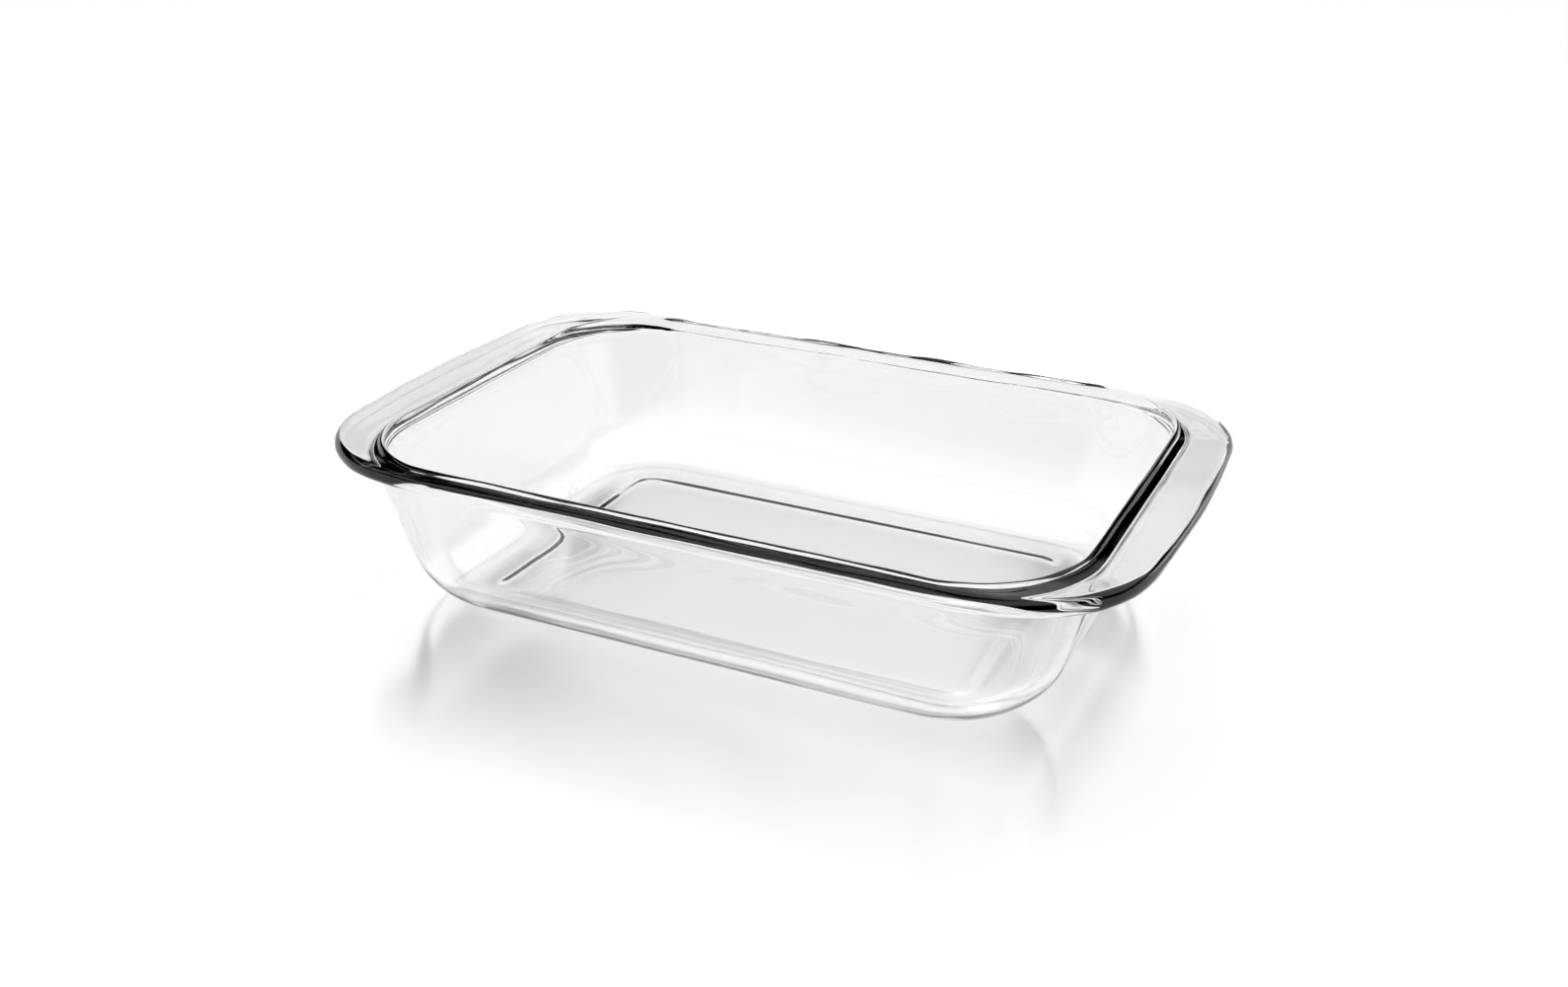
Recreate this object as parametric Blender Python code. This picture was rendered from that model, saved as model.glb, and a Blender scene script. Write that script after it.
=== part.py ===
"""A rectangular glass baking dish with a handle at each end, pressed as one piece of clear glass.

Metres, +Z up. The origin is under the middle of the dish, on the plane that it stands on.
+X runs along its length to one handle, +Y across its width.

The glass is lofted as one closed skin: up the outside, round the handles, over the rim and
down the inside. Every ring of the loft has the same stations, so it joins to the next one
with plain quads. A station is a place round the rim and the level direction outwards there.
"""

import bpy
import bmesh
from math import acos, asin, atan2, cos, pi, radians, sin, tan
from mathutils import Vector
from mathutils.geometry import intersect_line_line_2d

# Mouth of the dish, where the inner faces of the walls meet the bead round it
OPENING_LENGTH = 0.2954
OPENING_WIDTH = 0.2068
OPENING_CORNER_RADIUS = 0.045
HEIGHT = 0.072

# Rim: a narrow round bead at the mouth, with a flange that goes all the way round outside it
BEAD_RADIUS = 0.0013
BEAD_FOOT_FILLET = 0.0009
BEAD_RISE = 0.0016
FLANGE_REACH = 0.0072
FLANGE_THICKNESS = 0.0064
UNDER_FILLET = 0.0045

# Where the flange is narrow, the most of its width that each rounding below it may take
UNDER_FILLET_SHARE = 0.4
LOWER_EDGE_SHARE = 0.5

# Handles: the flange grows outwards at both ends, and its top rises towards the edge
HANDLE_REACH = 0.0273
HANDLE_EDGE_LIFT = 0.0014
HANDLE_LIFT_RUN = 0.007
HANDLE_BOW_RADIUS = 0.680
SHOULDER_FROM_TIP = 0.0555
SHOULDER_RADIUS = 0.050
SHOULDER_TURN = radians(38.0)
HOLLOW_RADIUS = 0.012
HOLLOW_TURN = radians(2.8)

# Walls: they lean outwards so that the dish leaves its mould
WALL_OFFSET = 0.0040
WALL_AT_RIM = 0.0062
WALL_AT_FLOOR = 0.0052
END_DRAFT = radians(15.3)
SIDE_DRAFT = radians(12.9)
BASE_CORNER_TIGHTER = 0.008
OUTER_BOTTOM_FILLET = 0.0216
INNER_BOTTOM_FILLET = 0.0175

# Floor, the foot ring that it stands on, and the soft step from there up to the panel inside
FLOOR_HEIGHT = 0.0060
FOOT_WIDTH = 0.0061
FOOT_EDGE_RUN = 0.0065
PANEL_RECESS = 0.0007
PANEL_CORNER_RADIUS = 0.012

# Fineness of the skin
CORNER_STEPS = 12
END_STEPS = 3
SIDE_STEPS = 2
FOOT_STEPS = 4
BOTTOM_STEPS = 6
WALL_STEPS = 3
EDGE_STEPS = 4
BEAD_STEPS = 5
FILLET_STEPS = 3
OUTLINE_STEP = radians(2.0)
SHARP_EDGE = radians(35.0)

# Sizes that follow from those above
MOUTH = Vector((OPENING_LENGTH / 2, OPENING_WIDTH / 2))
HALF_LENGTH = MOUTH.x + HANDLE_REACH
HALF_WIDTH = MOUTH.y + FLANGE_REACH
FLANGE_TOP = HEIGHT - BEAD_RISE
FLANGE_UNDERSIDE = FLANGE_TOP - FLANGE_THICKNESS
WALL_TOP = FLANGE_UNDERSIDE - UNDER_FILLET
BEAD_TURN = asin(1 - BEAD_RISE / (BEAD_RADIUS + BEAD_FOOT_FILLET))
BEAD_FOOT = BEAD_RADIUS + (BEAD_RADIUS + BEAD_FOOT_FILLET) * cos(BEAD_TURN)


def arc(centre, radius, start, end):
    """Points on a level arc, from one angle to another."""
    steps = max(1, round(abs(end - start) / OUTLINE_STEP))
    points = []
    for i in range(steps + 1):
        angle = start + (end - start) * i / steps
        points.append(centre + radius * Vector((cos(angle), sin(angle))))
    return points


def rim_outline_quarter():
    """Plan outline from the middle of a long side to the middle of a handle.

    A straight side, a shoulder, a slight hollow, the handle's corner and its long shallow bow,
    each tangent to the next. The corner takes the one radius that meets both its neighbours.
    """
    shoulder = Vector((HALF_LENGTH - SHOULDER_FROM_TIP, HALF_WIDTH - SHOULDER_RADIUS))
    shoulder_end = pi / 2 - SHOULDER_TURN
    outwards = Vector((cos(shoulder_end), sin(shoulder_end)))
    hollow = shoulder + (SHOULDER_RADIUS + HOLLOW_RADIUS) * outwards
    corner_start = shoulder_end + HOLLOW_TURN
    outwards = Vector((cos(corner_start), sin(corner_start)))
    meeting = hollow - HOLLOW_RADIUS * outwards

    bow = Vector((HALF_LENGTH - HANDLE_BOW_RADIUS, 0))
    away = meeting - bow
    spare = HANDLE_BOW_RADIUS ** 2 - away.length_squared
    corner_radius = spare / (2 * (HANDLE_BOW_RADIUS - away.dot(outwards)))
    corner = meeting - corner_radius * outwards
    corner_end = atan2(corner.y - bow.y, corner.x - bow.x)

    points = [Vector((0, HALF_WIDTH))]
    points += arc(shoulder, SHOULDER_RADIUS, pi / 2, shoulder_end)
    points += arc(hollow, HOLLOW_RADIUS, shoulder_end + pi, corner_start + pi)[1:]
    points += arc(corner, corner_radius, corner_start, corner_end)[1:]
    points += arc(bow, HANDLE_BOW_RADIUS, corner_end, 0)[1:]
    return points


class Station:
    """A place on the mouth's edge, the direction outwards and the flange's reach there."""

    def __init__(self, share, corner_angle, sign):
        self.share = share
        self.angle = corner_angle
        self.sign = sign
        self.reach = 0.0

    def on_rectangle(self, half_length, half_width, radius):
        """Where this station falls on a rounded rectangle."""
        x = (half_length - radius) * self.share.x + radius * cos(self.angle)
        y = (half_width - radius) * self.share.y + radius * sin(self.angle)
        return Vector((x * self.sign.x, y * self.sign.y))

    def measure_reach(self, outline):
        """Distance from the mouth to the outline, measured in the first quarter."""
        start = MOUTH - Vector((OPENING_CORNER_RADIUS, OPENING_CORNER_RADIUS))
        start = Vector((start.x * self.share.x, start.y * self.share.y))
        end = start + Vector((cos(self.angle), sin(self.angle)))
        for a, b in zip(outline, outline[1:]):
            hit = intersect_line_line_2d(start, end, a, b)
            if hit:
                self.reach = (hit - start).length - OPENING_CORNER_RADIUS
                return
        raise ValueError("the rim's outline is open")


def make_stations():
    """Stations all the way round, quarter by quarter, anticlockwise from the +X handle."""
    quarter = []
    for i in range(END_STEPS):
        quarter.append((Vector((1, i / END_STEPS)), 0.0))
    for i in range(CORNER_STEPS + 1):
        quarter.append((Vector((1, 1)), pi / 2 * i / CORNER_STEPS))
    for i in range(1, SIDE_STEPS + 1):
        quarter.append((Vector((1 - i / SIDE_STEPS, 1)), pi / 2))

    outline = rim_outline_quarter()
    outline.append(Vector((HALF_LENGTH, -HALF_WIDTH)))
    outline.insert(0, Vector((-HALF_LENGTH, HALF_WIDTH)))
    first = [(s, a, Vector((1, 1))) for s, a in quarter[:-1]]
    second = [(s, a, Vector((-1, 1))) for s, a in reversed(quarter[1:])]
    third = [(s, a, Vector((-1, -1))) for s, a in quarter[:-1]]
    fourth = [(s, a, Vector((1, -1))) for s, a in reversed(quarter[1:])]
    stations = []
    for share, angle, sign in first + second + third + fourth:
        station = Station(share, angle, sign)
        station.measure_reach(outline)
        stations.append(station)
    return stations


def at(plan, z):
    return Vector((plan.x, plan.y, z))


def rectangle_ring(stations, half_length, half_width, radius, z):
    return [at(s.on_rectangle(half_length, half_width, radius), z) for s in stations]


def rim_ring(stations, place):
    """A ring round the rim: place gives each station's offset from the mouth and its height."""
    ring = []
    for station in stations:
        offset, z = place(station)
        radius = OPENING_CORNER_RADIUS + offset
        ring.append(at(station.on_rectangle(MOUTH.x + offset, MOUTH.y + offset, radius), z))
    return ring


def wall_ring(stations, z, inset, depth_in_glass):
    """A ring on a wall: it leans with the draft, moved in by the inset and into the glass."""
    below = WALL_TOP - z
    outwards = WALL_OFFSET - inset - depth_in_glass
    tighter = BASE_CORNER_TIGHTER * below / WALL_TOP
    return rectangle_ring(
        stations,
        MOUTH.x + outwards - below * tan(END_DRAFT),
        MOUTH.y + outwards - below * tan(SIDE_DRAFT),
        OPENING_CORNER_RADIUS + outwards - tighter,
        z)


def foot_rings(stations):
    """The recessed panel under the floor, and the soft step down to the flat foot ring."""
    outside = OUTER_BOTTOM_FILLET + FOOT_WIDTH - WALL_OFFSET
    half_length = MOUTH.x - WALL_TOP * tan(END_DRAFT) - outside
    half_width = MOUTH.y - WALL_TOP * tan(SIDE_DRAFT) - outside
    rings = []
    for i in range(FOOT_STEPS + 1):
        share = 1 - i / FOOT_STEPS
        inset = FOOT_EDGE_RUN * share
        z = PANEL_RECESS * share * share * (3 - 2 * share)
        radius = PANEL_CORNER_RADIUS - inset
        rings.append(rectangle_ring(stations, half_length - inset, half_width - inset, radius, z))
    return rings


def outer_wall_rings(stations):
    """The rounded bottom edge, from the foot ring upwards, and the wall above it."""
    rings = []
    for i in range(BOTTOM_STEPS + 1):
        angle = pi / 2 * i / BOTTOM_STEPS
        z = OUTER_BOTTOM_FILLET * (1 - cos(angle))
        rings.append(wall_ring(stations, z, OUTER_BOTTOM_FILLET * (1 - sin(angle)), 0))
    for i in range(1, WALL_STEPS + 1):
        z = OUTER_BOTTOM_FILLET + (WALL_TOP - OUTER_BOTTOM_FILLET) * i / WALL_STEPS
        rings.append(wall_ring(stations, z, 0, 0))
    return rings


def top_lift(station, offset):
    """How far the flange's top has risen at an offset: it rises where it leaves a long side."""
    share = min(1.0, max(0.0, (station.reach - FLANGE_REACH) / HANDLE_LIFT_RUN))
    lift = HANDLE_EDGE_LIFT * share * share * (3 - 2 * share)
    level = FLANGE_REACH / 2
    return lift * max(0.0, offset - level) / (station.reach - level)


def under_flange_rings(stations):
    """The fillet from the wall to the flange's flat underside."""
    rings = []
    for i in range(1, FILLET_STEPS + 1):
        angle = pi / 2 * i / FILLET_STEPS

        def place(station, angle=angle):
            run = min(UNDER_FILLET, (station.reach - WALL_OFFSET) * UNDER_FILLET_SHARE)
            z = FLANGE_UNDERSIDE - UNDER_FILLET * (1 - sin(angle))
            return WALL_OFFSET + run * (1 - cos(angle)), z
        rings.append(rim_ring(stations, place))
    return rings


def flange_edge_rings(stations):
    """The flange's round edge, from its underside to its top."""
    rings = []
    for i in range(-EDGE_STEPS, EDGE_STEPS + 1):
        def place(station, share=i / EDGE_STEPS):
            lift = top_lift(station, station.reach)
            radius = (FLANGE_THICKNESS + lift) / 2
            if share < 0:
                run = min(radius, (station.reach - WALL_OFFSET) * LOWER_EDGE_SHARE)
                angle = pi / 2 * share
                offset = station.reach - run * (1 - cos(angle))
                return offset, FLANGE_UNDERSIDE + radius * (1 + sin(angle))
            room = (station.reach - BEAD_FOOT) / radius
            angle = acos(max(0.0, 1 - room)) * share
            offset = station.reach - radius * (1 - cos(angle))
            fall = lift - top_lift(station, offset)
            return offset, FLANGE_UNDERSIDE + radius * (1 + sin(angle)) - fall
        rings.append(rim_ring(stations, place))
    return rings


def bead_rings(stations):
    """The fillet at the bead's foot, and its round top as far as the walls' inner faces."""
    rings = []
    both = BEAD_RADIUS + BEAD_FOOT_FILLET
    for i in range(FILLET_STEPS + 1):
        angle = pi / 2 + (BEAD_TURN - pi / 2) * i / FILLET_STEPS
        offset = BEAD_RADIUS + both * cos(BEAD_TURN) - BEAD_FOOT_FILLET * cos(angle)
        z = FLANGE_TOP + BEAD_FOOT_FILLET * (1 - sin(angle))
        rings.append(rim_ring(stations, lambda s, o=offset, z=z: (o, z + top_lift(s, o))))

    last = pi - SIDE_DRAFT
    for i in range(1, BEAD_STEPS + 1):
        angle = BEAD_TURN + (last - BEAD_TURN) * i / BEAD_STEPS
        offset = BEAD_RADIUS * (1 + cos(angle))
        z = HEIGHT - BEAD_RADIUS * (1 - sin(angle))
        rings.append(rim_ring(stations, lambda s, o=offset, z=z: (o, z)))
    return rings


def wall_thickness(z):
    """The wall's thickness changes evenly from the rim down to the floor."""
    share = (WALL_TOP - z) / (WALL_TOP - FLOOR_HEIGHT)
    return WALL_AT_RIM + (WALL_AT_FLOOR - WALL_AT_RIM) * max(0.0, share)


def inner_wall_rings(stations):
    """Down the inside from under the rim, and round the inner bottom edge to the floor."""
    rings = []
    fillet_top = FLOOR_HEIGHT + INNER_BOTTOM_FILLET
    for i in range(WALL_STEPS):
        z = WALL_TOP + (fillet_top - WALL_TOP) * i / WALL_STEPS
        rings.append(wall_ring(stations, z, 0, wall_thickness(z)))
    for i in range(BOTTOM_STEPS + 1):
        angle = pi / 2 * (1 - i / BOTTOM_STEPS)
        z = fillet_top - INNER_BOTTOM_FILLET * cos(angle)
        inset = INNER_BOTTOM_FILLET * (1 - sin(angle))
        rings.append(wall_ring(stations, z, inset, wall_thickness(z)))
    return rings


def loft(name, rings):
    """Join the rings one to the next, and close the first and the last with a flat face."""
    bm = bmesh.new()
    verts = [[bm.verts.new(point) for point in ring] for ring in rings]
    bm.faces.new(reversed(verts[0]))
    for below, above in zip(verts, verts[1:]):
        count = len(below)
        for i in range(count):
            k = (i + 1) % count
            bm.faces.new((below[i], below[k], above[k], above[i]))
    bm.faces.new(verts[-1])
    bmesh.ops.recalc_face_normals(bm, faces=bm.faces)
    mesh = bpy.data.meshes.new(name)
    bm.to_mesh(mesh)
    bm.free()
    mesh.shade_smooth()
    mesh.set_sharp_from_angle(angle=SHARP_EDGE)
    obj = bpy.data.objects.new(name, mesh)
    bpy.context.scene.collection.objects.link(obj)
    return obj


def clear_glass():
    material = bpy.data.materials.new("clear_glass")
    material.use_nodes = True
    shader = material.node_tree.nodes["Principled BSDF"]
    shader.inputs["Base Color"].default_value = (0.93, 0.95, 0.95, 1)
    shader.inputs["Roughness"].default_value = 0.02
    shader.inputs["Metallic"].default_value = 0
    shader.inputs["IOR"].default_value = 1.51
    shader.inputs["Transmission Weight"].default_value = 1
    material.diffuse_color = (0.80, 0.88, 0.90, 0.4)
    return material


def make_dish():
    stations = make_stations()
    rings = foot_rings(stations)
    rings += outer_wall_rings(stations)
    rings += under_flange_rings(stations)
    rings += flange_edge_rings(stations)
    rings += bead_rings(stations)
    rings += inner_wall_rings(stations)
    dish = loft("dish", rings)
    dish.data.materials.append(clear_glass())
    return dish


def main():
    for obj in list(bpy.data.objects):
        bpy.data.objects.remove(obj, do_unlink=True)
    make_dish()


main()
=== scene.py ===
"""Looks for the glass baking dish.

The dish is one pressed piece of clear glass, so the scene makes it as one closed skin. The skin
starts as a flat disc under the floor. Its edge is extruded ring by ring: up the outside, round
the handles, over the rim and down the inside to the floor. Every ring has the same stations,
which are places round the rim, each with the level direction outwards there.

Metres, +Z up. The origin is under the middle of the dish, on the plane that it stands on.
"""

from math import acos, asin, atan2, cos, pi, radians, sin, tan

import bmesh
import bpy
from bpy.props import FloatProperty, FloatVectorProperty, IntProperty, PointerProperty
from bpy.types import Operator, Panel, PropertyGroup
from mathutils import Matrix, Vector, noise
from mathutils.geometry import intersect_line_line_2d


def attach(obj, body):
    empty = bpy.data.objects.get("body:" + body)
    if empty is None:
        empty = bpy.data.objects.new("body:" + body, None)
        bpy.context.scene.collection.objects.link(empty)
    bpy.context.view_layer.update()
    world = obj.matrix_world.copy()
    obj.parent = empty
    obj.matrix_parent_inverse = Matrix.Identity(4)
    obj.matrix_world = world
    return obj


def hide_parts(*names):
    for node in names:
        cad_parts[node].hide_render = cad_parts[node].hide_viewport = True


bl_info = {
    "name": "Glass Baking Dish",
    "version": (1, 0, 0),
    "blender": (4, 5, 0),
    "location": "3D View > Sidebar > Dish",
    "description": "Presses a clear glass baking dish and sets up the studio that shows it",
    "category": "Object",
}

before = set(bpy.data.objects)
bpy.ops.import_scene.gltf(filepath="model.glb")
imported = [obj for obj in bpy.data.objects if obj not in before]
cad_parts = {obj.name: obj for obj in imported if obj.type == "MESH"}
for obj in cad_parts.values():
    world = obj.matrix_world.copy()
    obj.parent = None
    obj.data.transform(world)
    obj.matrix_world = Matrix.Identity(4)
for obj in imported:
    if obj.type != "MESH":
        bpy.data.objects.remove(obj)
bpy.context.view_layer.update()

# The photograph's width in pixels, the camera's sensor in millimetres, its clipping in metres
IMAGE_WIDTH = 1588
SENSOR_WIDTH = 36.0
CLIP_START = 0.01


# Settings that a user would change

def length(name, default, description):
    return FloatProperty(name=name, default=default, description=description, min=0.0,
                         unit="LENGTH", subtype="DISTANCE", precision=4)


def turn(name, degrees, description):
    return FloatProperty(name=name, default=radians(degrees), description=description,
                         unit="ROTATION", subtype="ANGLE")


def share(name, default, description):
    return FloatProperty(name=name, default=default, description=description,
                         min=0.0, max=1.0, subtype="FACTOR")


def count(name, default, description):
    return IntProperty(name=name, default=default, description=description, min=1)


def colour(name, default, description):
    return FloatVectorProperty(name=name, default=default, description=description,
                               min=0.0, max=1.0, size=3, subtype="COLOR")


class DishShape(PropertyGroup):
    """Sizes of the pressed glass."""

    opening_length: length("Opening length", 0.2954, "Mouth, between the rim's inner faces")
    opening_width: length("Opening width", 0.2068, "Mouth, between the rim's inner faces")
    opening_radius: length("Opening corner", 0.045, "Radius of the mouth's corners")
    height: length("Height", 0.072, "From the foot to the top of the rim")
    bead_radius: length("Bead radius", 0.0013, "Round top of the narrow bead at the mouth")
    bead_foot_radius: length("Bead foot", 0.0009, "Fillet between the bead and the flange")
    bead_rise: length("Bead rise", 0.0016, "Height of the bead over the flange")
    rim_reach: length("Rim reach", 0.0072, "From the mouth to the flange's edge, long sides")
    flange_thickness: length("Flange thickness", 0.0064, "Also the handles' thickness")
    under_fillet: length("Under fillet", 0.0045, "Between the wall and the flange's underside")
    handle_reach: length("Handle reach", 0.0273, "From the mouth to the handle's edge")
    handle_edge_lift: length("Handle edge lift", 0.0014, "Rise of a handle towards its edge")
    handle_lift_run: length("Handle lift run", 0.007, "Reach over which that rise comes in")
    handle_bow_radius: length("Handle bow radius", 0.680, "Bow of a handle's outer edge")
    shoulder_from_tip: length("Shoulder from tip", 0.0555, "Where a long side starts to turn")
    shoulder_radius: length("Shoulder radius", 0.050, "Turn from a long side to a handle")
    shoulder_turn: turn("Shoulder turn", 38.0, "Angle that the shoulder turns through")
    hollow_radius: length("Hollow radius", 0.012, "Slight hollow between shoulder and handle")
    hollow_turn: turn("Hollow turn", 2.8, "Angle that the hollow turns back")
    wall_offset: length("Wall offset", 0.0040, "From the mouth out to the wall's top, outside")
    wall_at_rim: length("Wall at rim", 0.0062, "Thickness of the wall under the rim")
    wall_at_floor: length("Wall at floor", 0.0052, "Thickness of the wall at the floor")
    end_draft: turn("End draft", 15.3, "Lean of the end walls")
    side_draft: turn("Side draft", 12.9, "Lean of the side walls")
    base_corner_tighter: length("Base corner tighter", 0.008, "Less radius at the base's corners")
    outer_fillet: length("Outer bottom fillet", 0.0216, "Round of the bottom edge, outside")
    inner_fillet: length("Inner bottom fillet", 0.0175, "Round of the bottom edge, inside")
    floor_height: length("Floor height", 0.0060, "From the foot to the floor inside")
    foot_width: length("Foot width", 0.0061, "Flat ring that the dish stands on")
    foot_edge_run: length("Foot edge run", 0.0065, "Run of the soft step up to the bottom's panel")
    panel_recess: length("Panel recess", 0.0007, "Rise of the panel inside the foot ring")
    panel_radius: length("Panel corner", 0.012, "Corner radius where the step meets the foot ring")
    wave_height: length("Wave height", 0.00025, "Height of the faint waves of pressed glass")
    wave_size: length("Wave size", 0.025, "Distance from one such wave to the next")
    rim_wave_height: length("Rim wave height", 0.00045, "Height of the rim's own, shorter waves")
    rim_wave_size: length("Rim wave size", 0.013, "Distance from one of those to the next")
    wave_seed: count("Wave seed", 3, "Picks the waves' pattern, which is then the same each time")

    corner_steps: count("Corner steps", 16, "Stations round each corner")
    side_steps: count("Side steps", 8, "Stations along half a long side")
    end_steps: count("End steps", 4, "Stations along half a short side")
    round_steps: count("Round steps", 6, "Rings in a quarter turn of the profile")
    wall_steps: count("Wall steps", 3, "Rings up a wall")
    smoothing: count("Smoothing", 2, "Subdivision levels")


class GlassFinish(PropertyGroup):
    """How the glass looks."""

    tint: colour("Tint", (0.985, 0.992, 0.990), "Colour of light that has passed through")
    ior: FloatProperty(name="Index", default=1.51, description="Refractive index of oven glass")
    smooth: share("Smoothest", 0.0, "Roughness of the fire-polished glass")
    worn: share("Roughest", 0.003, "Roughness where fingers have handled it")
    ripple: length("Ripple height", 0.00002, "Height of the fine ripple of a pressed surface")
    ripple_size: length("Ripple size", 0.030, "Distance from one ripple to the next")


class Studio(PropertyGroup):
    """Floor, light and camera."""

    floor_size: length("Floor size", 2.5, "From the middle of the floor to its edges")
    foot_gap: length("Foot gap", 0.00015, "Air between the foot ring and the floor")
    floor_colour: colour("Floor", (0.80, 0.80, 0.80), "Plain pale floor")
    floor_gloss: share("Floor gloss", 0.60, "Strength of the floor's mirror image")
    floor_roughness: share("Floor roughness", 0.18, "Softness of the floor's mirror image")
    mirror_length: length("Mirror length", 0.140, "Half length of the floor that mirrors fully")
    mirror_width: length("Mirror width", 0.110, "Half width of the floor that mirrors fully")
    mirror_fade_ends: length("Mirror fade, ends", 0.030, "Run to its end past the handles")
    mirror_fade_sides: length("Mirror fade, sides", 0.100, "Run to its end past the long sides")
    # Painted light: the floor glows of its own for the eye, in mirrors and through glass. For the
    # eye the glow is even far off and weaker by the dish. Glass and mirrors see a weaker glow that
    # is strongest by the dish, where it lightens the dish's shadow on the floor seen through the
    # glass.
    painted_floor_light: share("Floor lift", 0.26, "Brightens the floor to white where the eye sees it")
    painted_light_near_dish: share("Lift by the dish", 0.58, "Share of the lift by the dish")
    painted_light_in_glass: share("Lift in glass", 0.38, "Share of the lift further off, seen in glass")
    surround: colour("Surround", (1.0, 1.0, 1.0), "Colour of the lit surround")
    fill: FloatProperty(name="Fill", default=1.38, min=0.0,
                        description="Level of the surround's light on matt things")
    fill_edge: share("Fill edge", 0.25, "How far towards the camera that light reaches")
    glass_gain: FloatProperty(name="Glass gain", default=0.65, min=0.0,
                              description="Makes up for light that blurred glass shadows lose")
    dark: colour("Dark parts", (0.004, 0.004, 0.004), "Colour of the studio's unlit parts")
    dark_edge: share("Dark edge", 0.70, "Where the dark side by the camera starts")
    dark_top: share("Dark top", 0.75, "How high that dark side reaches")
    backdrop: share("Backdrop", 0.135, "Half width of the lit backdrop behind the dish")
    backdrop_shade: share("Backdrop shade", 0.33, "How dark the backdrop is between the gaps")
    backdrop_yaw: turn("Backdrop yaw", -24.8, "Turn of the lit backdrop from +Y towards +X")
    gap_low: share("Gap bottom", 0.28, "Height where the dark gap beside the backdrop starts")
    gap_high: share("Gap top", 0.52, "Height where that gap ends and the light overhead starts")
    flag_yaw: turn("Flag yaw", -55.0, "Turn of the dark flag over the left, from +Y towards +X")
    flag_height: turn("Flag height", 58.0, "Elevation of the flag's middle")
    flag_size: turn("Flag size", 28.0, "From the flag's middle to its edge")
    softbox_power: FloatProperty(name="Softbox", default=3.0, description="Power of the softbox",
                                 min=0.0, unit="POWER")
    softbox_length: length("Softbox length", 1.2, "Longer side of the softbox")
    softbox_width: length("Softbox width", 0.8, "Shorter side of the softbox")
    softbox_place: FloatVectorProperty(name="Softbox place", default=(-0.3, 0.5, 1.3), size=3,
                                       description="Where the softbox hangs, facing the dish",
                                       unit="LENGTH", subtype="TRANSLATION")
    camera_place: FloatVectorProperty(name="Camera", default=(0.2742, -0.5791, 0.3279), size=3,
                                      description="Where the camera stands",
                                      unit="LENGTH", subtype="TRANSLATION")
    camera_yaw: turn("Camera yaw", -25.325, "Turn of the view from +Y towards +X")
    camera_pitch: turn("Camera pitch", 24.155, "How far the camera looks down")
    camera_roll: turn("Camera roll", 0.327, "Roll of the camera")
    focal_pixels: FloatProperty(name="Focal length", default=1682.6, description="In pixels",
                                min=1.0)


# Geometry

# Shares of the underside's reach that the fillet at its wall and the round of its edge may take
UNDER_FILLET_SHARE = 0.4
UNDER_EDGE_SHARE = 0.5

# From the inner wall to the floor's last ring, in inner fillets
LAST_RING_INSET = 1.4

# How far the pattern of the waves moves on with each ring, so that a wall's two faces differ
WAVE_SHIFT = 1 / 8


def ease(way):
    """Smoothly from 0 to 1, and level before and after."""
    way = min(1.0, max(0.0, way))
    return way * way * (3 - 2 * way)


def arc(centre, radius, start, end, step=radians(0.5)):
    """Points on a level arc, from one angle to another."""
    steps = max(1, round(abs(end - start) / step))
    points = []
    for i in range(steps + 1):
        angle = start + (end - start) * i / steps
        points.append(centre + radius * Vector((cos(angle), sin(angle))))
    return points


class Profile:
    """The dish's sizes, and everything that follows from them."""

    def __init__(self, shape):
        self.s = shape
        self.mouth = Vector((shape.opening_length / 2, shape.opening_width / 2))
        self.half_length = self.mouth.x + shape.handle_reach
        self.half_width = self.mouth.y + shape.rim_reach
        self.flange_top = shape.height - shape.bead_rise
        self.flange_underside = self.flange_top - shape.flange_thickness
        self.wall_top = self.flange_underside - shape.under_fillet
        between_centres = shape.bead_radius + shape.bead_foot_radius
        self.bead_turn = asin(1 - shape.bead_rise / between_centres)
        self.bead_foot = shape.bead_radius + between_centres * cos(self.bead_turn)

    def outline_quarter(self):
        """Plan outline from the middle of a long side to the middle of a handle.

        The arcs of shoulder, hollow, corner and bow each run on smoothly from the last, and the
        corner's radius is what makes it meet the bow. Both ends run on past the quarter.
        """
        s = self.s
        shoulder = Vector((self.half_length - s.shoulder_from_tip,
                           self.half_width - s.shoulder_radius))
        shoulder_end = pi / 2 - s.shoulder_turn
        outwards = Vector((cos(shoulder_end), sin(shoulder_end)))
        hollow = shoulder + (s.shoulder_radius + s.hollow_radius) * outwards
        corner_start = shoulder_end + s.hollow_turn
        outwards = Vector((cos(corner_start), sin(corner_start)))
        meeting = hollow - s.hollow_radius * outwards

        bow = Vector((self.half_length - s.handle_bow_radius, 0))
        away = meeting - bow
        spare = s.handle_bow_radius ** 2 - away.length_squared
        corner_radius = spare / (2 * (s.handle_bow_radius - away.dot(outwards)))
        corner = meeting - corner_radius * outwards
        corner_end = atan2(corner.y - bow.y, corner.x - bow.x)

        points = [Vector((-self.half_length, self.half_width)), Vector((0, self.half_width))]
        points += arc(shoulder, s.shoulder_radius, pi / 2, shoulder_end)
        points += arc(hollow, s.hollow_radius, shoulder_end + pi, corner_start + pi)[1:]
        points += arc(corner, corner_radius, corner_start, corner_end)[1:]
        points += arc(bow, s.handle_bow_radius, corner_end, 0)[1:]
        points.append(Vector((self.half_length, -self.half_width)))
        return points

    def wall_thickness(self, z):
        """Thickness at a height: it changes evenly from the wall's top to the floor."""
        share_down = (self.wall_top - z) / (self.wall_top - self.s.floor_height)
        grown = self.s.wall_at_floor - self.s.wall_at_rim
        return self.s.wall_at_rim + grown * max(0.0, share_down)

    def edge_lift(self, station, offset):
        """How far the flange's top has risen at an offset: not at all along a long side."""
        s = self.s
        lift = s.handle_edge_lift * ease((station.reach - s.rim_reach) / s.handle_lift_run)
        start = s.rim_reach / 2
        return lift * max(0.0, offset - start) / (station.reach - start)


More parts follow.
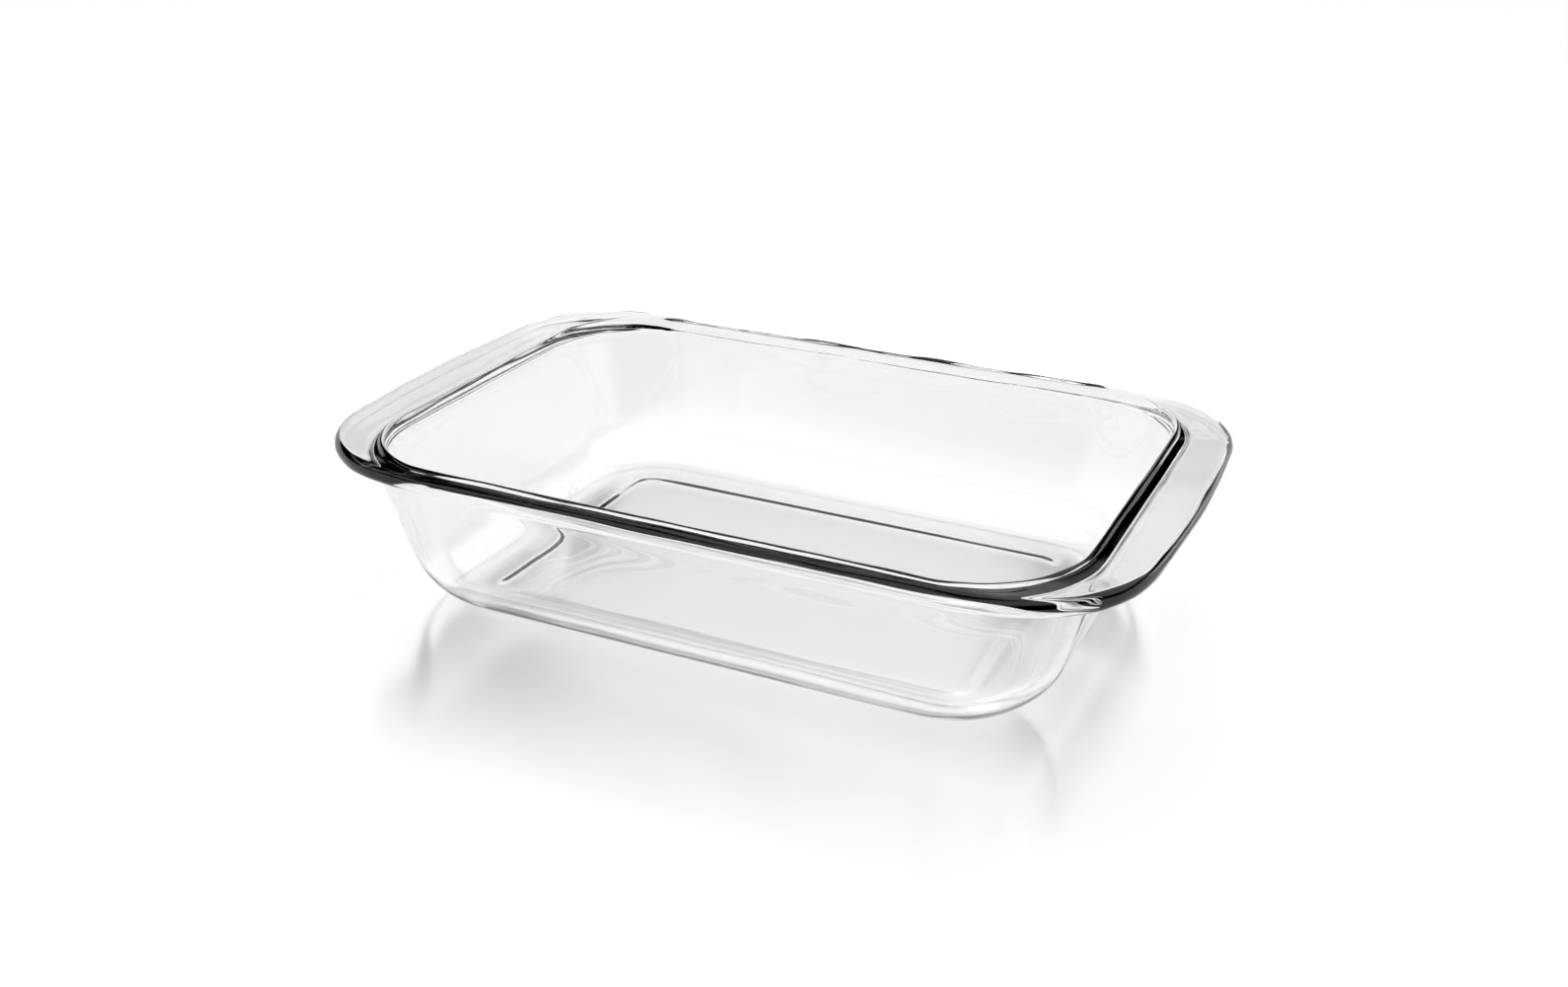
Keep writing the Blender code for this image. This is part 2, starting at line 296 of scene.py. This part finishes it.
class Station:
    """A place round the rim, and how far the flange reaches there from the mouth's edge.

    The place is a share of the way along each half side, and the angle is the way outwards, both
    in the quarter where x and y are positive. The signs take the station to its own quarter.
    """

    def __init__(self, place, angle, sign, profile, outline):
        self.place = place
        self.angle = angle
        self.sign = sign
        radius = profile.s.opening_radius
        start = (profile.mouth - Vector((radius, radius))) * place
        end = start + Vector((cos(angle), sin(angle)))
        hits = (intersect_line_line_2d(start, end, a, b) for a, b in zip(outline, outline[1:]))
        self.reach = (next(hit for hit in hits if hit) - start).length - radius

    def on_rectangle(self, half_length, half_width, radius):
        """Where this station falls on a rounded rectangle."""
        x = (half_length - radius) * self.place.x + radius * cos(self.angle)
        y = (half_width - radius) * self.place.y + radius * sin(self.angle)
        return Vector((x * self.sign.x, y * self.sign.y))


def make_stations(profile):
    """Stations all the way round, quarter by quarter, anticlockwise from the +X handle."""
    s = profile.s
    quarter = [(Vector((1, i / s.end_steps)), 0.0) for i in range(s.end_steps)]
    quarter += [(Vector((1, 1)), pi / 2 * i / s.corner_steps) for i in range(s.corner_steps + 1)]
    quarter += [(Vector((1 - i / s.side_steps, 1)), pi / 2) for i in range(1, s.side_steps + 1)]
    ways_round = (
        (quarter[:-1], Vector((1, 1))),
        (quarter[:0:-1], Vector((-1, 1))),
        (quarter[:-1], Vector((-1, -1))),
        (quarter[:0:-1], Vector((1, -1))),
    )
    outline = profile.outline_quarter()
    return [Station(place, angle, sign, profile, outline)
            for part, sign in ways_round for place, angle in part]


class Skin:
    """A closed skin: a flat disc whose edge is extruded ring by ring."""

    def __init__(self, stations, profile):
        self.stations = stations
        self.profile = profile
        self.bm = bmesh.new()
        disc = bmesh.ops.create_circle(self.bm, cap_ends=True, segments=len(stations), radius=1.0)
        self.ring = disc["verts"]
        self.edges = list(self.bm.edges)
        self.rings = 0
        noise.seed_set(profile.s.wave_seed)

    def grow(self, points):
        """Set a ring's vertices: the disc's own at first, and then those of its extruded edge."""
        if self.rings:
            grown = bmesh.ops.extrude_edge_only(self.bm, edges=self.edges)["geom"]
            new = {item for item in grown if isinstance(item, bmesh.types.BMVert)}
            self.edges = [item for item in grown if isinstance(item, bmesh.types.BMEdge)
                          and item.verts[0] in new and item.verts[1] in new]
            self.ring = [next(edge.other_vert(vert) for edge in vert.link_edges
                              if edge.other_vert(vert) in new) for vert in self.ring]
        self.rings += 1
        for vert, point in zip(self.ring, points):
            vert.co = point + self.wave(point)

    def wave(self, point):
        """How far the faint waves of pressed glass move a point: not at all at the foot."""
        s = self.profile.s
        place = point / s.wave_size + Vector((0, 0, self.rings * WAVE_SHIFT))
        growth = min(1.0, point.z / s.outer_fillet)
        wave = noise.noise_vector(place) * s.wave_height * growth
        closer = place * (s.wave_size / s.rim_wave_size)
        on_rim = max(0.0, min(1.0, (point.z - self.profile.wall_top) / s.under_fillet))
        return wave + noise.noise_vector(closer) * s.rim_wave_height * on_rim

    def on_rectangle(self, half_length, half_width, radius, z):
        """A level ring on a rounded rectangle."""
        self.grow([Vector((*station.on_rectangle(half_length, half_width, radius), z))
                   for station in self.stations])

    def on_rim(self, place, *at):
        """A ring round the rim: place gives each station's offset from the mouth and height."""
        p = self.profile
        points = []
        for station in self.stations:
            offset, z = place(p, station, *at)
            plan = station.on_rectangle(p.mouth.x + offset, p.mouth.y + offset,
                                        p.s.opening_radius + offset)
            points.append(Vector((*plan, z)))
        self.grow(points)

    def on_wall(self, z, inset, depth_in_glass):
        """A level ring on a leaning wall, moved in by the inset and by the depth in its glass."""
        p = self.profile
        below = p.wall_top - z
        outwards = p.s.wall_offset - inset - depth_in_glass
        tighter = p.s.base_corner_tighter * below / p.wall_top
        self.on_rectangle(p.mouth.x + outwards - below * tan(p.s.end_draft),
                          p.mouth.y + outwards - below * tan(p.s.side_draft),
                          p.s.opening_radius + outwards - tighter, z)

    def close(self):
        """Fill the last ring, which is the floor inside the dish."""
        bmesh.ops.edgeloop_fill(self.bm, edges=self.edges)
        bmesh.ops.recalc_face_normals(self.bm, faces=self.bm.faces)


def quarter_turn(steps, first=0):
    """Angles of a quarter turn, from the given step on."""
    return [pi / 2 * i / steps for i in range(first, steps + 1)]


def add_foot(skin):
    """The recessed panel under the floor, and the soft step down to the ring under the dish."""
    p, s = skin.profile, skin.profile.s
    outside = s.outer_fillet + s.foot_width - s.wall_offset
    half_length = p.mouth.x - p.wall_top * tan(s.end_draft) - outside
    half_width = p.mouth.y - p.wall_top * tan(s.side_draft) - outside
    for i in range(s.round_steps + 1):
        way = 1 - i / s.round_steps
        back = s.foot_edge_run * way
        skin.on_rectangle(half_length - back, half_width - back, s.panel_radius - back,
                          s.panel_recess * ease(way))


def add_outer_wall(skin):
    """The rounded bottom edge, from the foot ring upwards, and the wall above it."""
    p, s = skin.profile, skin.profile.s
    for angle in quarter_turn(s.round_steps):
        skin.on_wall(s.outer_fillet * (1 - cos(angle)), s.outer_fillet * (1 - sin(angle)), 0)
    for i in range(1, s.wall_steps + 1):
        skin.on_wall(s.outer_fillet + (p.wall_top - s.outer_fillet) * i / s.wall_steps, 0, 0)


def under_flange(profile, station, angle):
    """A place on the fillet between the wall and the flange's underside."""
    s = profile.s
    run = min(s.under_fillet, (station.reach - s.wall_offset) * UNDER_FILLET_SHARE)
    z = profile.flange_underside - s.under_fillet * (1 - sin(angle))
    return s.wall_offset + run * (1 - cos(angle)), z


def round_edge(profile, station, way):
    """A place on the flange's edge: -1 on its underside, 0 furthest out and 1 on its top."""
    s = profile.s
    lift = profile.edge_lift(station, station.reach)
    radius = (s.flange_thickness + lift) / 2
    run = radius
    if way < 0:
        angle = pi / 2 * way
        run = min(run, (station.reach - s.wall_offset) * UNDER_EDGE_SHARE)
    else:
        angle = acos(max(0.0, 1 - (station.reach - profile.bead_foot) / radius)) * way
    offset = station.reach - run * (1 - cos(angle))
    height = radius * (1 + sin(angle))
    if way > 0:
        height -= lift - profile.edge_lift(station, offset)
    return offset, profile.flange_underside + height


def lifted(profile, station, offset, z):
    """A place that rises with the flange's top."""
    return offset, z + profile.edge_lift(station, offset)


def level(profile, station, offset, z):
    """A place at the same height all the way round."""
    return offset, z


def add_flange(skin):
    """The fillet under the flange, its underside and its round edge."""
    s = skin.profile.s
    for angle in quarter_turn(s.round_steps // 2, 1):
        skin.on_rim(under_flange, angle)
    steps = s.round_steps - 1
    for i in range(-steps, steps + 1):
        skin.on_rim(round_edge, i / steps)


def add_bead(skin):
    """The fillet at the bead's foot, and its round top as far as the mouth's sloping face."""
    p, s = skin.profile, skin.profile.s
    foot_steps = s.round_steps // 2
    for i in range(foot_steps + 1):
        angle = pi / 2 + (p.bead_turn - pi / 2) * i / foot_steps
        offset = p.bead_foot - s.bead_foot_radius * cos(angle)
        z = p.flange_top + s.bead_foot_radius * (1 - sin(angle))
        skin.on_rim(lifted, offset, z)
    last = pi - s.side_draft
    for i in range(1, s.round_steps + 1):
        angle = p.bead_turn + (last - p.bead_turn) * i / s.round_steps
        offset = s.bead_radius * (1 + cos(angle))
        z = s.height - s.bead_radius * (1 - sin(angle))
        skin.on_rim(level, offset, z)


def add_inner_wall(skin):
    """Down the inside from under the bead, and round the inner bottom edge to the floor."""
    p, s = skin.profile, skin.profile.s
    fillet_top = s.floor_height + s.inner_fillet
    start = s.height - s.bead_radius
    steps = s.round_steps // 2
    for i in range(1, steps):
        way = i / steps
        z = start + (p.wall_top - start) * way
        skin.on_rim(level, (s.wall_offset - s.wall_at_rim) * way, z)
    for i in range(s.wall_steps):
        z = p.wall_top + (fillet_top - p.wall_top) * i / s.wall_steps
        skin.on_wall(z, 0, p.wall_thickness(z))
    for angle in reversed(quarter_turn(s.round_steps)):
        z = fillet_top - s.inner_fillet * cos(angle)
        skin.on_wall(z, s.inner_fillet * (1 - sin(angle)), p.wall_thickness(z))
    inset = s.inner_fillet * LAST_RING_INSET
    skin.on_wall(s.floor_height, inset, p.wall_thickness(s.floor_height))


def finish_piece(bm, name, material, smoothing):
    """Make a smooth object at the origin from a bmesh, with its place in its mesh."""
    mesh = bpy.data.meshes.new(name)
    bm.to_mesh(mesh)
    bm.free()
    mesh.shade_smooth()
    mesh.materials.append(material)
    piece = bpy.data.objects.new(name, mesh)
    bpy.context.scene.collection.objects.link(piece)
    if smoothing:
        surface = piece.modifiers.new("Smooth", "SUBSURF")
        surface.levels = surface.render_levels = smoothing
    return piece


# Materials

WHITE = (1.0, 1.0, 1.0, 1.0)

# The finger marks' pattern: how close and how fine it is, and the shades that are clean and worn
MARKS_PER_METRE = 38.0
MARK_DETAIL = 4.0
CLEAN_SHADE = 0.50
WORN_SHADE = 0.75
RIPPLE_DETAIL = 1.5

# Half widths of the soft edges between the studio's light and dark parts
DARK_EDGE_BLUR = 0.15
DARK_TOP_BLUR = 0.10
BACKDROP_BLUR = 0.03
NEAR_HALF_BLUR = 0.10
GAP_BOTTOM_BLUR = 0.06
GAP_TOP_BLUR = 0.03
FLAG_BLUR = 0.03
FILL_BLUR = 0.40


class Value:
    """A node's output socket that Python's operators work on."""

    def __init__(self, graph, socket):
        self.graph = graph
        self.socket = socket

    def maths(self, operation, *values):
        """Add a Math node that works on these values."""
        return self.graph.node("ShaderNodeMath", {"operation": operation}, *values)

    def __add__(self, other):
        return self.maths("ADD", self, other)

    __radd__ = __add__

    def __sub__(self, other):
        return self.maths("SUBTRACT", self, other)

    def __rsub__(self, other):
        return self.maths("SUBTRACT", other, self)

    def __mul__(self, other):
        return self.maths("MULTIPLY", self, other)

    __rmul__ = __mul__

    def __abs__(self):
        return self.maths("ABSOLUTE", self)

    def __lt__(self, other):
        return self.maths("LESS_THAN", self, other)

    def most(self, other):
        return self.maths("MAXIMUM", self, other)


class Graph:
    """A material's or the world's nodes."""

    def __init__(self, owner):
        owner.use_nodes = True
        self.tree = owner.node_tree
        self.tree.nodes.clear()

    def node(self, kind, settings, *values, output=0, **named):
        """Add a node: its settings first, then the values or links of its input sockets."""
        node = self.tree.nodes.new(kind)
        for key, value in settings.items():
            setattr(node, key, value)
        by_name = {name.replace("_", " "): value for name, value in named.items()}
        for key, value in [*enumerate(values), *by_name.items()]:
            if isinstance(value, Value):
                self.tree.links.new(value.socket, node.inputs[key])
            else:
                node.inputs[key].default_value = value
        return Value(self, node.outputs[output]) if node.outputs else node

    def vectors(self, operation, *values, output="Vector"):
        """Add a Vector Math node that works on these values."""
        return self.node("ShaderNodeVectorMath", {"operation": operation}, *values, output=output)

    def rise(self, value, low, high):
        """Smoothly from 0 at the low value to 1 at the high one."""
        return self.node("ShaderNodeMapRange", {"interpolation_type": "SMOOTHSTEP"},
                         Value=value, From_Min=low, From_Max=high)


def clear_glass(finish):
    """Clear pressed glass: smooth, with a fine ripple and faint finger marks."""
    material = bpy.data.materials.new("clear_glass")
    g = Graph(material)
    place = g.node("ShaderNodeTexCoord", {}, output="Object")
    marks = g.node("ShaderNodeTexNoise", {}, Vector=place, Scale=MARKS_PER_METRE,
                   Detail=MARK_DETAIL, output="Fac")
    rough = g.node("ShaderNodeMapRange", {}, Value=marks, From_Min=CLEAN_SHADE,
                   From_Max=WORN_SHADE, To_Min=finish.smooth, To_Max=finish.worn)
    ripple = g.node("ShaderNodeTexNoise", {}, Vector=place, Scale=1.0 / finish.ripple_size,
                    Detail=RIPPLE_DETAIL, output="Fac")
    bump = g.node("ShaderNodeBump", {}, Strength=1.0, Distance=finish.ripple, Height=ripple)
    shader = g.node("ShaderNodeBsdfPrincipled", {}, Base_Color=(*finish.tint, 1.0),
                    Roughness=rough, IOR=finish.ior, Normal=bump, Transmission_Weight=1.0)
    g.node("ShaderNodeOutputMaterial", {}, Surface=shader)
    return material


def light_path(g, *outputs):
    """What a ray has been through, by the names of the Light Path node's outputs."""
    first = g.node("ShaderNodeLightPath", {}, output=outputs[0])
    return [first] + [Value(g, first.socket.node.outputs[name]) for name in outputs[1:]]


def seen_directly(g):
    """1 for what the eye sees, also by mirror and through glass, and 0 for light on matt things."""
    eye, mirrored, through, on_matt = light_path(
        g, "Is Camera Ray", "Is Glossy Ray", "Is Transmission Ray", "Diffuse Depth")
    return eye.most(mirrored).most(through) * (on_matt < 0.5)


def pale_floor(studio):
    """A plain pale floor that the eye sees as white, with a soft mirror image near the dish. Part
    of that white is painted light: the floor glows for the eye, in mirrors and through glass, and
    seen through the glass the glow lightens the dish's shadow on the floor.
    """
    material = bpy.data.materials.new("pale_floor")
    g = Graph(material)
    place = g.node("ShaderNodeTexCoord", {}, output="Object")

    # The floor is level, so the third number only keeps the height out of it
    mirrors_fully = (studio.mirror_length, studio.mirror_width, 1.0)
    fades_over = (studio.mirror_fade_ends, studio.mirror_fade_sides, 1.0)
    beyond = g.vectors("SUBTRACT", g.vectors("ABSOLUTE", place), mirrors_fully)
    faded = g.vectors("DIVIDE", g.vectors("MAXIMUM", beyond, (0.0, 0.0, 0.0)), fades_over)
    near = 1 - g.rise(g.vectors("LENGTH", faded, output="Value"), 0.0, 1.0)

    matt = g.node("ShaderNodeBsdfDiffuse", {}, Color=(*studio.floor_colour, 1.0))
    gloss = g.node("ShaderNodeBsdfAnisotropic", {}, Color=WHITE, Roughness=studio.floor_roughness)
    both = g.node("ShaderNodeMixShader", {}, near * studio.floor_gloss, matt, gloss)
    # Painted light: a glow that only the eye, mirrors and glass see. It is even far off for the eye
    # and weaker by the dish, and through the glass it is strongest by the dish, where it lightens
    # the dish's shadow.
    [eye] = light_path(g, "Is Camera Ray")
    in_glass = near * (studio.painted_light_near_dish - studio.painted_light_in_glass) + studio.painted_light_in_glass
    shown = seen_directly(g) * in_glass + eye * (1 - near) * (1 - studio.painted_light_in_glass)
    lift = g.node("ShaderNodeEmission", {}, Color=WHITE, Strength=shown * studio.painted_floor_light)
    whole = g.node("ShaderNodeAddShader", {}, both, lift)
    g.node("ShaderNodeOutputMaterial", {}, Surface=whole)
    return material


def light_surround(studio):
    """Even light for matt things; the eye sees white, and glass sees the studio's dark parts."""
    world = bpy.data.worlds.new("studio")
    bpy.context.scene.world = world
    g = Graph(world)
    way = g.node("ShaderNodeTexCoord", {}, output="Generated")
    height = g.node("ShaderNodeSeparateXYZ", {}, way, output="Z")

    def towards(yaw, elevation=0.0):
        """How far the way points towards a direction, by its turn from +Y towards +X."""
        direction = (sin(yaw) * cos(elevation), cos(yaw) * cos(elevation), sin(elevation))
        return g.vectors("DOT_PRODUCT", way, direction, output="Value")

    def past(value, edge, blur):
        """0 short of an edge and 1 past it."""
        return g.rise(value, edge - blur, edge + blur)

    to_camera = towards(studio.camera_yaw + pi)
    side = past(to_camera, studio.dark_edge, DARK_EDGE_BLUR)
    side *= 1 - past(height, studio.dark_top, DARK_TOP_BLUR)

    off_backdrop = past(abs(towards(studio.backdrop_yaw + pi / 2)), studio.backdrop, BACKDROP_BLUR)
    near_half = past(to_camera, 0.0, NEAR_HALF_BLUR)
    gap = off_backdrop.most(near_half).most(studio.backdrop_shade)
    gap *= past(height, studio.gap_low, GAP_BOTTOM_BLUR)
    gap *= 1 - past(height, studio.gap_high, GAP_TOP_BLUR)

    to_flag = towards(studio.flag_yaw, studio.flag_height)
    flag = past(to_flag, cos(studio.flag_size), FLAG_BLUR)

    eye, sharp, through = light_path(
        g, "Is Camera Ray", "Is Singular Ray", "Is Transmission Ray")
    dark = side.most(gap).most(flag) * sharp * (1 - eye)
    white = g.node("ShaderNodeBackground", {}, Color=(*studio.surround, 1.0), Strength=1.0)
    black = g.node("ShaderNodeBackground", {}, Color=(*studio.dark, 1.0), Strength=1.0)
    shown = g.node("ShaderNodeMixShader", {}, dark, white, black)
    lit_side = 1 - past(to_camera, studio.fill_edge, FILL_BLUR)
    fill = g.node("ShaderNodeBackground", {}, Color=(*studio.surround, 1.0),
                  Strength=(1 + through * studio.glass_gain) * lit_side * studio.fill)
    lit = g.node("ShaderNodeMixShader", {}, seen_directly(g), fill, shown)
    g.node("ShaderNodeOutputWorld", {}, Surface=lit)


# Operators

class DISH_OT_press_glass(Operator):
    """Press the dish: floor, foot, walls, rim and handles as one closed skin of clear glass"""

    bl_idname = "dish.press_glass"
    bl_label = "Press Glass Dish"

    def execute(self, context):
        shape = context.scene.dish_shape
        profile = Profile(shape)
        skin = Skin(make_stations(profile), profile)
        add_foot(skin)
        add_outer_wall(skin)
        add_flange(skin)
        add_bead(skin)
        add_inner_wall(skin)
        skin.close()
        glass = clear_glass(context.scene.glass_finish)
        dish = finish_piece(skin.bm, "pressed_glass", glass, shape.smoothing)
        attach(dish, "root")
        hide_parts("dish")
        return {"FINISHED"}


class DISH_OT_set_stage(Operator):
    """Lay the floor, set the light and stand the camera where the photograph was taken"""

    bl_idname = "dish.set_stage"
    bl_label = "Set Stage"

    def execute(self, context):
        scene, studio = context.scene, context.scene.dish_studio
        bm = bmesh.new()
        under_foot = Matrix.Translation((0, 0, -studio.foot_gap))
        bmesh.ops.create_grid(bm, x_segments=1, y_segments=1, size=studio.floor_size,
                              matrix=under_foot)
        floor = finish_piece(bm, "floor", pale_floor(studio), 0)
        light_surround(studio)

        softbox = bpy.data.lights.new("softbox", "AREA")
        softbox.shape = "RECTANGLE"
        softbox.size = studio.softbox_length
        softbox.size_y = studio.softbox_width
        softbox.energy = studio.softbox_power
        lamp = bpy.data.objects.new("softbox", softbox)
        lamp.location = studio.softbox_place
        lamp.rotation_euler = (-lamp.location).to_track_quat("-Z", "Y").to_euler()
        scene.collection.objects.link(lamp)

        yaw, pitch, roll = studio.camera_yaw, studio.camera_pitch, studio.camera_roll
        forward = Vector((sin(yaw) * cos(pitch), cos(yaw) * cos(pitch), -sin(pitch)))
        right = Vector((cos(yaw), -sin(yaw), 0.0))
        up = right.cross(forward)
        right, up = right * cos(roll) + up * sin(roll), up * cos(roll) - right * sin(roll)
        lens = bpy.data.cameras.new("camera")
        lens.sensor_width = SENSOR_WIDTH
        lens.lens = studio.focal_pixels / IMAGE_WIDTH * SENSOR_WIDTH
        lens.clip_start = CLIP_START
        camera = bpy.data.objects.new("camera", lens)
        turned = Matrix((right, up, -forward)).transposed().to_4x4()
        camera.matrix_world = Matrix.Translation(studio.camera_place) @ turned
        scene.collection.objects.link(camera)
        scene.camera = camera
        scene.view_settings.view_transform = "Standard"
        return {"FINISHED"}


class DISH_PT_sidebar(Panel):
    """Baking dish"""

    bl_label = "Glass Baking Dish"
    bl_idname = "DISH_PT_sidebar"
    bl_space_type = "VIEW_3D"
    bl_region_type = "UI"
    bl_category = "Dish"

    def draw(self, context):
        scene = context.scene
        for operator, settings in (("dish.press_glass", (scene.dish_shape, scene.glass_finish)),
                                   ("dish.set_stage", (scene.dish_studio,))):
            self.layout.operator(operator)
            for group in settings:
                box = self.layout.box()
                for name in group.__annotations__:
                    box.prop(group, name)


CLASSES = (DishShape, GlassFinish, Studio, DISH_OT_press_glass, DISH_OT_set_stage, DISH_PT_sidebar)


def register():
    for cls in CLASSES:
        bpy.utils.register_class(cls)
    bpy.types.Scene.dish_shape = PointerProperty(type=DishShape)
    bpy.types.Scene.glass_finish = PointerProperty(type=GlassFinish)
    bpy.types.Scene.dish_studio = PointerProperty(type=Studio)


def unregister():
    del bpy.types.Scene.dish_studio
    del bpy.types.Scene.glass_finish
    del bpy.types.Scene.dish_shape
    for cls in reversed(CLASSES):
        bpy.utils.unregister_class(cls)


def main():
    register()
    bpy.ops.dish.press_glass()
    bpy.ops.dish.set_stage()


if __name__ == "__main__":
    main()
